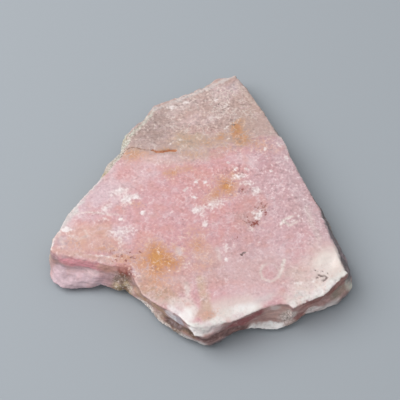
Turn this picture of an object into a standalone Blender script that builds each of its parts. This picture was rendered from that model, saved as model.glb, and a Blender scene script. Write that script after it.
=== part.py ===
"""A broken slab of pink opal, one natural stone lying on the flat of its underside.

The slab is a loft of closed rings. Seen from above, three outlines shape its side: the crest, which is
the edge of the upper face, the shoulder, where the side breaks, and the lip, its widest line. Every
ring follows the same bearings from the middle of the stone. Lumps, hollows, grooves and the scoops of
the broken side are then pressed into the rings.
"""

import math

import bmesh
import bpy
from mathutils import Vector, noise

MM = 0.001  # the sizes below are in millimetres

# Driving sizes
FRONT_THICKNESS = 8.1  # at the front tip
CRACK_THICKNESS = 7.4  # along the rusty crack
APEX_THICKNESS = 5.2  # at the back point, past the fold
TIP_Y = -38.0
CRACK_Y = 14.0
APEX_Y = 39.0
MIDDLE = Vector((0.0, -6.0))  # every ring is star-shaped about this point

FLAT_SHARE = 0.6  # radius of the flat that the stone rests on, as a share of the lip's
FLAT_WANDER = 0.2  # how much that share varies from bearing to bearing
FLAT_WANDER_RATE = 2.0  # how fast it varies
UNDERCUT = 2.2  # how far the side draws in below the lip
RIM_SHARE = 0.4  # height of the underside's rim, as a share of the lip's
UNDER_CURVE = 1.6  # the higher, the more gently the underside meets the flat
LOWEST_POINT = 0.02  # height kept by every point that isn't on the flat

STATION_SPACING = 1.0  # between bearings, measured along the crest
TOP_RINGS = 24
TOP_CROWDING = 0.8  # below 1, the upper face's rings stand closer together towards the crest
UPPER_SIDE_RINGS = 4  # crest to shoulder
LOWER_SIDE_RINGS = 5  # shoulder to lip
FOOT_RINGS = 4  # lip to the rim of the underside
UNDER_RINGS = 8  # the rim of the underside to the flat

KEPT_SHARE = 0.44  # of the triangles, once the flatter stretches are thinned
TOLERANCE = 1e-6  # so that a ray through an outline's corner meets it

# The crest: (x, y), anticlockwise seen from above. Its height is that of the upper face.
BACK_LEFT_CREST = [
    (9.2, 39.4), (7, 38.4), (4, 37.4), (2.4, 36.2), (1, 35), (-2.5, 33), (-6.5, 31), (-9, 29.6),
    (-11.4, 28.5), (-13.1, 25.2), (-14.1, 23.3), (-16.4, 20.6),
]
CRUSTED_CREST = [
    (-17, 18.3), (-17.2, 15.5), (-18.9, 13.4), (-19.6, 12), (-20, 10.3), (-21, 8.6), (-22, 6.4),
    (-23.8, 4.6),
]
LEFT_CREST = [
    (-26.5, 1.1), (-30, -3.5), (-31.8, -6.3), (-33.3, -10.5), (-34.6, -12.8), (-35.1, -15.9),
    (-34.4, -16.7),
]
LEDGE_CREST = [(-28.5, -18.5), (-21, -20.4), (-16.6, -21.1), (-15.5, -23.6), (-14.3, -26), (-13.5, -28.1)]
LOWER_LEFT_CREST = [(-11, -30.3), (-8.3, -31.9), (-5.6, -33.4), (-4.4, -34.4), (-2.8, -36.4)]
TIP_CREST = [(-1.4, -37), (2.5, -36.6), (5.4, -35.7), (7, -35.8)]
FRONT_CREST = [
    (8.7, -35.1), (11.6, -33.6), (14.2, -32.1), (16, -31.4), (18.5, -30.8), (20.3, -31.1),
    (21.3, -32.1), (22.4, -31.4), (25.6, -29.9), (28.3, -28.7), (29.7, -27.3), (30.8, -25.9),
    (32.3, -24.5), (34.2, -22.5),
]
RIGHT_CREST = [
    (33.4, -21.2), (31.7, -16.2), (29.9, -9.7), (27.9, -2.5), (25.4, 3.4), (22.7, 9.9), (21.1, 15.2),
    (20.3, 17.6), (19.3, 18.3), (17, 24.1), (14.2, 29.7), (10.6, 36.3),
]

# The shoulder: (x, y, height).
BACK_LEFT_SHOULDER = [
    (9.2, 39.3, 3.4), (4, 38, 3.8), (1, 35.6, 3.5), (-2.5, 33.6, 3.8), (-9.6, 30.4, 4), (-12.3, 28.7, 4.2),
    (-14, 25, 4.6), (-17, 20.8, 5.8),
]
CRUSTED_SHOULDER = [
    (-17.9, 18.8, 6.3), (-18.1, 16.6, 6.3), (-19.2, 14.2, 6.4), (-20.3, 12.2, 6.3), (-21.3, 10.2, 6.3),
    (-22.6, 7.6, 6.2), (-24, 4.9, 5.8),
]
LEFT_SHOULDER = [
    (-26.9, 1.3, 5.2), (-30.4, -3.3, 5), (-33.6, -10.2, 5), (-34.9, -12.6, 5), (-35.5, -15.6, 5),
]
LEDGE_SHOULDER = [
    (-34.8, -17.3, 4.6), (-32, -19, 4.1), (-28, -19.3, 4.1), (-25, -19.9, 5.1), (-21, -20.8, 6.5),
    (-17.4, -22, 7), (-15.9, -23.8, 6.4),
]
LOWER_LEFT_SHOULDER = [
    (-14.1, -25.6, 5), (-12.7, -28.2, 4.2), (-8.3, -31.5, 4), (-5.2, -34, 4.2), (-3.7, -35.2, 4.8),
    (-2.6, -36.8, 5.6),
]
TIP_SHOULDER = [(-1.5, -38.1, 6.2), (0.7, -38.8, 6), (2.2, -38.4, 6), (4.1, -37.1, 6.3), (6, -35.9, 6.6)]
FRONT_SHOULDER = [
    (6.8, -35, 3.4), (8.5, -34.4, 3.1), (10, -33.8, 3.2), (11.5, -33, 2.9), (13, -32.4, 2.4),
    (15, -32.4, 1.9), (17.5, -32.6, 1.9), (19.5, -32.1, 2.2), (21.3, -31.4, 2.4), (23.3, -30.2, 2.4),
    (26.2, -28.8, 3.5), (29.5, -26.8, 3.8), (32.5, -24.3, 4.4), (34.8, -22.1, 5),
]
RIGHT_SHOULDER = [
    (34.9, -20.2, 4.8), (33.3, -16, 5.4), (31.2, -9.6, 5.4), (29.1, -3.4, 5.4), (26.1, 3.5, 5.2),
    (23.3, 9.8, 5), (21.5, 15.3, 4.8), (20.7, 18.2, 4.6), (17.6, 24.4, 4.2), (14.8, 29.9, 3.9),
    (11.2, 36.6, 3.4),
]

# The lip: (x, y, height).
BACK_LEFT_LIP = [
    (9.4, 39.8, 1.8), (4, 38.6, 2.2), (1, 36.5, 1.8), (-2.6, 34.2, 2), (-9.8, 30.9, 2.2),
    (-13, 28.8, 2.4), (-15, 25, 2.8), (-17.4, 21.4, 4),
]
CRUSTED_LIP = [
    (-18.7, 19.9, 5), (-19.5, 17.9, 5), (-19.8, 15.9, 5), (-20, 14.4, 4.8), (-21.8, 12.2, 4.8),
    (-23, 10.4, 4.8), (-23.5, 8.5, 4.8), (-24.4, 6, 4.2),
]
LEFT_LIP = [(-27.2, 1.6, 2.8), (-30.8, -3, 2.4), (-34.2, -9.9, 2.4), (-35.4, -13, 2.6), (-35.9, -15.4, 2.8)]
LEDGE_LIP = [
    (-35.3, -17.4, 1.9), (-35.1, -19.2, 1.7), (-34.2, -20.9, 1.7), (-32, -22.8, 1.6), (-28.6, -23, 1.5),
    (-25.6, -22.6, 1.8), (-23.6, -21.8, 2.4), (-21.7, -22.7, 2), (-18.8, -23.8, 1.7), (-17.3, -23.2, 2),
]
LOWER_LEFT_LIP = [
    (-14.6, -25.9, 2.2), (-12.7, -27.8, 2.2), (-9.6, -31.2, 2.2), (-8.2, -32.8, 2.2), (-5.9, -34.3, 2.2),
    (-4, -36, 1.9),
]
TIP_LIP = [(-2.2, -36.6, 1.6), (0.7, -38, 1.3), (2.2, -38.3, 1.3), (4.7, -36.8, 1.4), (6.5, -35.7, 1.7)]
FRONT_LIP = [
    (8, -35, 2.5), (10, -34.5, 2.9), (11.5, -34.1, 2.4), (13, -33.8, 1.5), (15, -33.9, 1.3),
    (17.5, -34.1, 1.2), (19.6, -33.3, 1.3), (21.4, -32.2, 1.4), (25, -29.9, 1.5), (28.1, -28.8, 1.5),
    (31.8, -26.9, 1.4), (33.5, -25.6, 1.3), (34.9, -24.2, 1.3), (36.1, -22.3, 1.4),
]
RIGHT_LIP = [
    (36, -20.6, 1.7), (34.9, -17.6, 2.5), (33.4, -12, 2.8), (31.2, -6, 2.8), (29, -1, 2.8), (26.6, 4, 2.6),
    (23.7, 10, 2.6), (22, 15, 2.4), (20.9, 19.2, 2.2), (17.8, 25.8, 2), (15, 31, 2), (11.6, 37.4, 1.8),
]

# Lumps stand out and hollows sink in: (x, y, height of the middle), radius, depth outwards.
DENTS = [
    ((17, -32.3, 4.8), 3.4, -0.6),  # scoop under the front crest
    ((20.6, -32.5, 3.8), 2.0, 0.8),  # crusted lump at its right
    ((9.4, -34.6, 5.8), 3.0, -0.4),  # dark hollow at its left
    ((24.5, -30.2, 5.6), 2.6, -0.4),
    ((29.2, -27.8, 5.8), 2.4, -0.4),
    ((33.2, -23.8, 6.4), 1.8, -0.3),
    ((-12.6, -28.6, 5.2), 2.4, -0.8),  # under the lower left crest
    ((-7, -33.2, 5.6), 2.2, 0.4),  # streaked facet over the groove
    ((-15.7, -22.8, 6.6), 1.6, -0.6),  # rusty corner beside the ledge
    ((-17.6, -23.2, 3.4), 1.6, 0.5),  # crust below that corner
    ((-27, -20.5, 3.8), 4.0, -0.3),
    ((-32.6, -20.6, 3.4), 2.6, 0.3),
    ((30.2, -20, 7.9), 2.4, -0.45),  # pit near the right corner
    ((-19.8, 12.6, 7.2), 1.6, -0.6),  # notch where the crack meets the edge
    ((-22, -9, 7.8), 9, 0.25),
    ((12, -12, 7.8), 10, -0.3),
    ((-6, 24, 6.4), 8, -0.25),
    ((8, 8, 7.5), 9, 0.2),
]

# Narrow cuts follow a path: points, width, depth.
GROOVE = (
    [(-13, -28.6, 3.9), (-8.4, -32, 3.8), (-6.4, -33.6, 3.8), (-4.4, -35.2, 4.3), (-2, -37.6, 5.4)],
    1.5,
    1.0,
)
TIP_GROOVE = ([(-1.2, -38.1, 4.8), (2.2, -38.2, 4.6), (5, -36.4, 4.6), (8, -34.8, 5)], 1.8, 0.5)
LEDGE_FOOT = ([(-33.4, -18.6, 4.3), (-28, -19.4, 4.2), (-24.6, -20.2, 5.2), (-20, -21.6, 6.4)], 1.5, 0.35)

# Scoops of the broken side, each shell-shaped, with a ridge where two meet.
SCOOP_LENGTH = 5.0  # along the edge
SCOOP_HEIGHT = 3.4
SCOOP_DEPTH = 0.75
SCOOP_MEAN = 0.35  # share of the depth that leaves the side where it was
SIDE_SLOPE = 0.45  # upright share of the normal below which a place is all side
FACE_SLOPE = 0.85  # and above which it is all upper face or underside
UNDER_SCOOP_LENGTH = 9.0
UNDER_SCOOP_DEPTH = 0.6
GRAIN_SIZE = 1.7
GRAIN_DEPTH = 0.22
WAVE_LENGTH = 10.0  # of the upper face
WAVE_HEIGHT = 0.3

PINK = (0.72, 0.44, 0.46, 1.0)
ROUGHNESS = 0.5


def clear_scene():
    for old in list(bpy.data.objects):
        bpy.data.objects.remove(old, do_unlink=True)


def face_height(x, y):
    """The upper face's height over the flat: nearly level, then falling away past the crack."""
    if y < CRACK_Y:
        share = (y - TIP_Y) / (CRACK_Y - TIP_Y)
        return FRONT_THICKNESS + (CRACK_THICKNESS - FRONT_THICKNESS) * share
    share = (y - CRACK_Y) / (APEX_Y - CRACK_Y)
    return CRACK_THICKNESS + (APEX_THICKNESS - CRACK_THICKNESS) * share


def with_heights(outline):
    return [(x, y, face_height(x, y)) for x, y in outline]


def bearings_along(outline):
    """Bearings from the middle to points set at an even spacing along the outline, corners included."""
    found = []
    for start, end in zip(outline, outline[1:] + outline[:1]):
        start = Vector(start[:2])
        end = Vector(end[:2])
        steps = max(1, round((end - start).length / STATION_SPACING))
        for step in range(steps):
            spoke = start.lerp(end, step / steps) - MIDDLE
            found.append(math.atan2(spoke.y, spoke.x))
    return found


def crossing(outline, bearing):
    """Where the ray at this bearing crosses the outline: (distance from the middle, height)."""
    ray = Vector((math.cos(bearing), math.sin(bearing)))
    best = (0.0, 0.0)
    for start, end in zip(outline, outline[1:] + outline[:1]):
        near = Vector(start[:2]) - MIDDLE
        along = Vector(end[:2]) - Vector(start[:2])
        turn = ray.x * along.y - ray.y * along.x
        if abs(turn) < TOLERANCE:
            continue
        reach = (near.x * along.y - near.y * along.x) / turn
        share = (near.x * ray.y - near.y * ray.x) / turn
        if reach > best[0] and -TOLERANCE <= share <= 1 + TOLERANCE:
            best = (reach, start[2] + (end[2] - start[2]) * share)
    return best


def profile(crest, shoulder, lip, flat):
    """One bearing's section, from the top's middle over the side to the flat: (distance, height)."""
    section = []
    for ring in range(1, TOP_RINGS):
        section.append((crest[0] * (ring / TOP_RINGS) ** TOP_CROWDING, None))
    for ring in range(UPPER_SIDE_RINGS):
        share = ring / UPPER_SIDE_RINGS
        section.append(tuple(a + (b - a) * share for a, b in zip(crest, shoulder)))
    for ring in range(LOWER_SIDE_RINGS):
        share = ring / LOWER_SIDE_RINGS
        section.append(tuple(a + (b - a) * share for a, b in zip(shoulder, lip)))
    rim = (lip[0] - UNDERCUT, RIM_SHARE * lip[1])
    for ring in range(FOOT_RINGS):
        turn = ring / FOOT_RINGS * math.pi / 2
        distance = rim[0] + (lip[0] - rim[0]) * math.cos(turn)
        section.append((distance, lip[1] + (rim[1] - lip[1]) * math.sin(turn)))
    for ring in range(UNDER_RINGS + 1):
        share = 1 - ring / UNDER_RINGS
        section.append((flat + (rim[0] - flat) * share, rim[1] * share**UNDER_CURVE))
    return section


def loft(crest, shoulder, lip):
    """The plain rings as a closed mesh, in millimetres."""
    mesh = bmesh.new()
    columns = []
    for bearing in bearings_along(crest):
        ray = Vector((math.cos(bearing), math.sin(bearing)))
        widest = crossing(lip, bearing)
        flat = widest[0] * (FLAT_SHARE + FLAT_WANDER * noise.noise(FLAT_WANDER_RATE * ray.to_3d()))
        column = []
        for distance, height in profile(crossing(crest, bearing), crossing(shoulder, bearing), widest, flat):
            x, y = MIDDLE + ray * distance
            column.append(mesh.verts.new((x, y, face_height(x, y) if height is None else height)))
        columns.append(column)
    top = mesh.verts.new((*MIDDLE, face_height(*MIDDLE)))
    for left, right in zip(columns, columns[1:] + columns[:1]):
        mesh.faces.new((top, left[0], right[0]))
        for row in range(len(left) - 1):
            mesh.faces.new((left[row], left[row + 1], right[row + 1], right[row]))
    mesh.faces.new([column[-1] for column in reversed(columns)])
    return mesh


def smooth_step(low, high, value):
    share = min(1.0, max(0.0, (value - low) / (high - low)))
    return share * share * (3 - 2 * share)


def shift_along_normals(mesh, amount):
    """Moves every point that isn't on the flat along its own normal, by amount(point, normal)."""
    mesh.normal_update()
    moves = []
    for vert in mesh.verts:
        if vert.co.z > 0:
            moves.append((vert, vert.normal * amount(vert.co, vert.normal)))
    for vert, move in moves:
        vert.co += move
        vert.co.z = max(vert.co.z, LOWEST_POINT)


def press_dents(mesh):
    def amount(point, normal):
        moved = 0.0
        for centre, radius, depth in DENTS:
            near = (point - Vector(centre)).length / radius
            if near < 1:
                moved += depth * (1 - near * near) ** 2
        return moved

    shift_along_normals(mesh, amount)


def distance_to_path(point, path):
    best = math.inf
    for start, end in zip(path, path[1:]):
        start = Vector(start)
        along = Vector(end) - start
        share = min(1.0, max(0.0, (point - start).dot(along) / along.length_squared))
        best = min(best, (point - start - along * share).length)
    return best


def cut_path(mesh, path, width, depth):
    def amount(point, normal):
        near = distance_to_path(point, path) / (width / 2)
        return -depth * (1 - near * near) if near < 1 else 0.0

    shift_along_normals(mesh, amount)


def break_side(mesh):
    """Shell-shaped scoops on the side and underside, and a slow wave on the upper face."""

    def hollow(cell):
        """0 in the middle of a scoop, 1 on the ridge between two."""
        return min(noise.voronoi(cell)[0][0], 1.0) ** 2

    def amount(point, normal):
        side = 1 - smooth_step(SIDE_SLOPE, FACE_SLOPE, abs(normal.z))
        cell = Vector((point.x / SCOOP_LENGTH, point.y / SCOOP_LENGTH, point.z / SCOOP_HEIGHT))
        scoop = SCOOP_DEPTH * (hollow(cell) - SCOOP_MEAN)
        grain = GRAIN_DEPTH * noise.noise(point / GRAIN_SIZE)
        if normal.z > 0:
            level = WAVE_HEIGHT * noise.noise(point / WAVE_LENGTH)
        else:
            level = UNDER_SCOOP_DEPTH * (hollow(point / UNDER_SCOOP_LENGTH) - 1)
        return side * (scoop + grain) + (1 - side) * level

    shift_along_normals(mesh, amount)


def settle(mesh):
    """Puts the stone's box in the middle, standing on the flat."""
    lowest = [min(vert.co[axis] for vert in mesh.verts) for axis in range(3)]
    highest = [max(vert.co[axis] for vert in mesh.verts) for axis in range(3)]
    middle = Vector(((lowest[0] + highest[0]) / 2, (lowest[1] + highest[1]) / 2, lowest[2]))
    print("middle of the box, in mm:", [round(value, 2) for value in middle])
    for vert in mesh.verts:
        vert.co = (vert.co - middle) * MM


def opal_material():
    material = bpy.data.materials.new("pink opal")
    material.use_nodes = True
    shader = material.node_tree.nodes["Principled BSDF"]
    shader.inputs["Base Color"].default_value = PINK
    shader.inputs["Roughness"].default_value = ROUGHNESS
    shader.inputs["Metallic"].default_value = 0.0
    return material


def build_slab():
    crest = with_heights(
        BACK_LEFT_CREST + CRUSTED_CREST + LEFT_CREST + LEDGE_CREST + LOWER_LEFT_CREST + TIP_CREST
        + FRONT_CREST + RIGHT_CREST
    )
    shoulder = (
        BACK_LEFT_SHOULDER + CRUSTED_SHOULDER + LEFT_SHOULDER + LEDGE_SHOULDER + LOWER_LEFT_SHOULDER
        + TIP_SHOULDER + FRONT_SHOULDER + RIGHT_SHOULDER
    )
    lip = (
        BACK_LEFT_LIP + CRUSTED_LIP + LEFT_LIP + LEDGE_LIP + LOWER_LEFT_LIP
        + TIP_LIP + FRONT_LIP + RIGHT_LIP
    )
    mesh = loft(crest, shoulder, lip)
    press_dents(mesh)
    for path, width, depth in (GROOVE, TIP_GROOVE, LEDGE_FOOT):
        cut_path(mesh, path, width, depth)
    break_side(mesh)
    settle(mesh)
    bmesh.ops.triangulate(mesh, faces=mesh.faces)
    data = bpy.data.meshes.new("opal_slab")
    mesh.to_mesh(data)
    mesh.free()
    data.materials.append(opal_material())
    slab = bpy.data.objects.new("opal_slab", data)
    bpy.context.scene.collection.objects.link(slab)
    thin = slab.modifiers.new("thin the flatter stretches", "DECIMATE")
    thin.ratio = KEPT_SHARE
    return slab


clear_scene()
build_slab()
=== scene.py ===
import math

import bmesh
import bpy
import numpy as np
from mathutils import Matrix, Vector, kdtree, noise


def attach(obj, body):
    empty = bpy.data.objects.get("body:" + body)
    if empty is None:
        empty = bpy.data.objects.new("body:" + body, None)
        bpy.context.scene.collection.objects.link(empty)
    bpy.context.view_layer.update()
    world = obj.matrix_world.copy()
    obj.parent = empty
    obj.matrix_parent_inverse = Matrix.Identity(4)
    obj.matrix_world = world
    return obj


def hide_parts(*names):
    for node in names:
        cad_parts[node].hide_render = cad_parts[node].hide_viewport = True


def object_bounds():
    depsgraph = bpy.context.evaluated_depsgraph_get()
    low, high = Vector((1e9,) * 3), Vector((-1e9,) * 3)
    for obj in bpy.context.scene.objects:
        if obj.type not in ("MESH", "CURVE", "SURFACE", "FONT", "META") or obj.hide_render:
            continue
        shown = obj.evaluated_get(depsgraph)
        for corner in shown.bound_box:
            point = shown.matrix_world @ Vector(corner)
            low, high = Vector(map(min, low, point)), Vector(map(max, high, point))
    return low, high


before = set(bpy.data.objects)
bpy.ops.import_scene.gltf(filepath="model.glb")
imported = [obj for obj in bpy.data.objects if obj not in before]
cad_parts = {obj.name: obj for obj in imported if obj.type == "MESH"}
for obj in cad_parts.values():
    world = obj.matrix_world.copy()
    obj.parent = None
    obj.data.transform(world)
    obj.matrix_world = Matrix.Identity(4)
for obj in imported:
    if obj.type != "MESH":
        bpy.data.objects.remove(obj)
cadLow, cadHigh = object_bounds()
print("frame loaded")

mm = 0.001  # lengths and places below are in millimetres, turns in degrees

# Colours as they look in plain light, red, green and blue from 0 to 255
palette = {
    "pink": (214, 163, 166),
    "rosePink": (215, 157, 156),
    "palePink": (224, 194, 196),
    "warmPink": (212, 179, 171),
    "lilac": (217, 187, 193),
    "lilacPink": (207, 168, 172),
    "greyLilac": (202, 175, 179),
    "dustyPink": (202, 161, 156),
    "dullPink": (211, 176, 175),
    "peach": (216, 173, 161),
    "tanPink": (205, 170, 157),
    "warmGrey": (211, 189, 177),
    "cream": (228, 211, 203),
    "milk": (239, 229, 224),
    "ivory": (250, 238, 230),
    "white": (245, 242, 242),
    "mauve": (192, 163, 156),
    "greyMauve": (174, 149, 143),
    "paleMauve": (203, 181, 177),
    "dustyMauve": (189, 160, 149),
    "olive": (194, 169, 149),
    "apricot": (209, 161, 141),
    "capRust": (193, 152, 124),
    "rust": (203, 138, 97),
    "ochre": (206, 146, 84),
    "chalk": (244, 232, 231),
    "capGrain": (219, 203, 194),
    "redBrown": (140, 68, 56),
    "darkBrown": (84, 58, 52),
    "crackBrown": (150, 106, 84),
    "orange": (184, 108, 58),
    "rose": (238, 162, 170),
    "brownRose": (208, 154, 140),
    "sideLilac": (208, 180, 187),
    "mauveRose": (196, 154, 160),
    "sidePink": (178, 140, 134),
    "tanBrown": (192, 152, 126),
    "facetGrey": (220, 206, 206),
    "maroon": (158, 94, 94),
    "maroonDark": (116, 84, 80),
    "redGrey": (152, 100, 92),
    "scoopPink": (202, 164, 154),
    "crust": (180, 159, 124),
    # dark crust, and also the painted shade in the groove on the lower left side
    "crustDark": (118, 92, 68),
    "greenWhite": (206, 206, 192),
    "rustDark": (146, 84, 68),
    # painted shade for the right side wall and the foot
    "shadeGrey": (100, 93, 96),
    "oliveGrey": (150, 136, 122),
    "underGrey": (152, 142, 134),
    "edgeWhite": (216, 209, 206),
    "paleCrust": (204, 194, 184),
    "tanPeach": (207, 174, 156),
    "salmon": (217, 161, 153),
    "rimWhite": (232, 227, 221),
    # snow is pale stone painted whiter still: painted light on shaded sides, and painted highlights on the
    # rim
    "snow": (255, 252, 249),
    "capOchre": (186, 143, 96),
    "mauvePink": (203, 166, 168),
    "coolGrey": (190, 181, 189),
}


def linear(colour):  # from a colour as it looks to the light that a shader takes
    scaled = np.asarray(colour, float) / 255
    return np.where(scaled <= 0.04045, scaled / 12.92, ((scaled + 0.055) / 1.055) ** 2.4)


def smooth(value, low, high):  # from 0 at one value to 1 at another, with soft ends
    share = np.clip((value - low) / (high - low), 0, 1)
    return share * share * (3 - 2 * share)


class Graph:  # short calls that build a shader or geometry tree; vectors are in millimetres
    def __init__(self, tree):
        self.tree = tree

    def plug(self, value, socket):
        if isinstance(value, bpy.types.NodeSocket):
            self.tree.links.new(value, socket)
        else:
            socket.default_value = value

    def node(self, kind, inputs=None, **settings):
        made = self.tree.nodes.new(kind)
        for name, value in settings.items():
            setattr(made, name, value)
        for socket, value in (inputs or {}).items():
            self.plug(value, made.inputs[socket])
        return made

    def maths(self, operation, *values):
        return self.node("ShaderNodeMath", dict(enumerate(values)), operation=operation).outputs[0]

    def add(self, *values):
        total = values[0]
        for value in values[1:]:
            total = self.maths("ADD", total, value)
        return total

    def times(self, *values):
        total = values[0]
        for value in values[1:]:
            total = self.maths("MULTIPLY", total, value)
        return total

    def centred(self, value):  # a noise about 0
        return self.add(value, -0.5)

    def scaled(self, vector, factor):
        inputs = {0: vector, "Scale": factor}
        return self.node("ShaderNodeVectorMath", inputs, operation="SCALE").outputs[0]

    def stretched(self, vector, factors):
        inputs = {0: vector, 1: factors}
        return self.node("ShaderNodeVectorMath", inputs, operation="MULTIPLY").outputs[0]

    def noise(self, vector, size, detail=3.0, roughness=0.55, distortion=0.0):
        inputs = {"Vector": vector, "Detail": detail, "Roughness": roughness, "Distortion": distortion}
        inputs["Scale"] = self.maths("DIVIDE", 1.0, size)
        return self.node("ShaderNodeTexNoise", inputs).outputs[0]

    def warped(self, vector, size, reach):  # the same places, pushed about by noise
        inputs = {"Vector": vector, "Scale": self.maths("DIVIDE", 1.0, size), "Detail": 3.0}
        push = self.node("ShaderNodeTexNoise", inputs).outputs["Color"]
        inputs = {0: push, 1: (reach, reach, reach), 2: vector}
        return self.node("ShaderNodeVectorMath", inputs, operation="MULTIPLY_ADD").outputs[0]

    def cells(self, vector, size, feature="F1"):
        inputs = {"Vector": vector, "Scale": self.maths("DIVIDE", 1.0, size)}
        return self.node("ShaderNodeTexVoronoi", inputs, feature=feature)

    def ramp(self, value, low, high, start=0.0, end=1.0):
        inputs = {"Value": value, "From Min": low, "From Max": high, "To Min": start, "To Max": end}
        return self.node("ShaderNodeMapRange", inputs, interpolation_type="SMOOTHSTEP").outputs[0]

    def mix(self, share, first, second):
        made = self.node("ShaderNodeMix", data_type="RGBA")
        self.plug(share, made.inputs[0])
        self.plug(first, made.inputs[6])
        self.plug(second, made.inputs[7])
        return made.outputs[2]


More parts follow.
